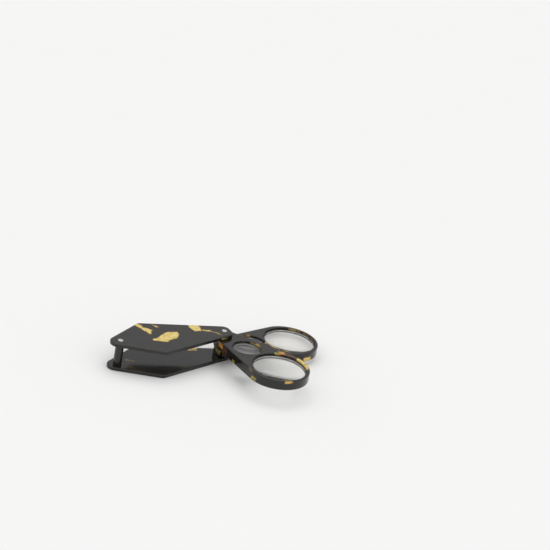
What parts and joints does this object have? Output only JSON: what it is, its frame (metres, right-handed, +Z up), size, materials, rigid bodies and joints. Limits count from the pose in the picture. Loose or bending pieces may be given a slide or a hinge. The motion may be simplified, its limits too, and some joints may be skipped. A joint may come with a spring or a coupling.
{
  "type": "jewelers loupe",
  "caption": "Folding pocket loupe: kite-shaped tortoiseshell covers on a spacer post and a pivot rivet, with lens leaves that swing out, each with a large and a small magnifier.",
  "frame": {"origin": "on the pivot axis at the case's flat lower face", "axes": "+X along the case from the pivot to the spacer post, +Z up through the covers, +Y towards the side the leaves are swung out to at rest"},
  "size_m": [0.0888, 0.0516, 0.0112],
  "materials": {
    "tortoiseshell": "glossy black plastic with amber tortoiseshell flecks",
    "post_plastic": "satin black moulded plastic",
    "rivet_steel": "bright nickel-plated steel",
    "washer_plastic": "matt black nylon",
    "retainer_metal": "black enamelled spring ring",
    "lens_glass": "clear polished glass"
  },
  "bodies": {
    "case": {"bottom_cover": "tortoiseshell", "top_cover": "tortoiseshell", "spacer_post": "post_plastic", "pivot_rivet": "rivet_steel", "post_rivet": "rivet_steel", "lower_washer": "washer_plastic", "middle_washer": "washer_plastic", "upper_washer": "washer_plastic"},
    "upper_leaf_body": {"upper_leaf": "tortoiseshell", "upper_large_lens": "lens_glass", "upper_large_retainer": "retainer_metal", "upper_small_lens": "lens_glass", "upper_small_retainer": "retainer_metal"},
    "lower_leaf_body": {"lower_leaf": "tortoiseshell", "lower_large_lens": "lens_glass", "lower_large_retainer": "retainer_metal", "lower_small_lens": "lens_glass", "lower_small_retainer": "retainer_metal"}
  },
  "joints": [
    {"name": "upper_leaf_swing", "type": "hinge", "parent": "case", "child": "upper_leaf_body", "pos_m": [0, 0, 0], "axis": [0, 0, 1], "continuous": true},
    {"name": "lower_leaf_swing", "type": "hinge", "parent": "case", "child": "lower_leaf_body", "pos_m": [0, 0, 0], "axis": [0, 0, 1], "continuous": true}
  ]
}
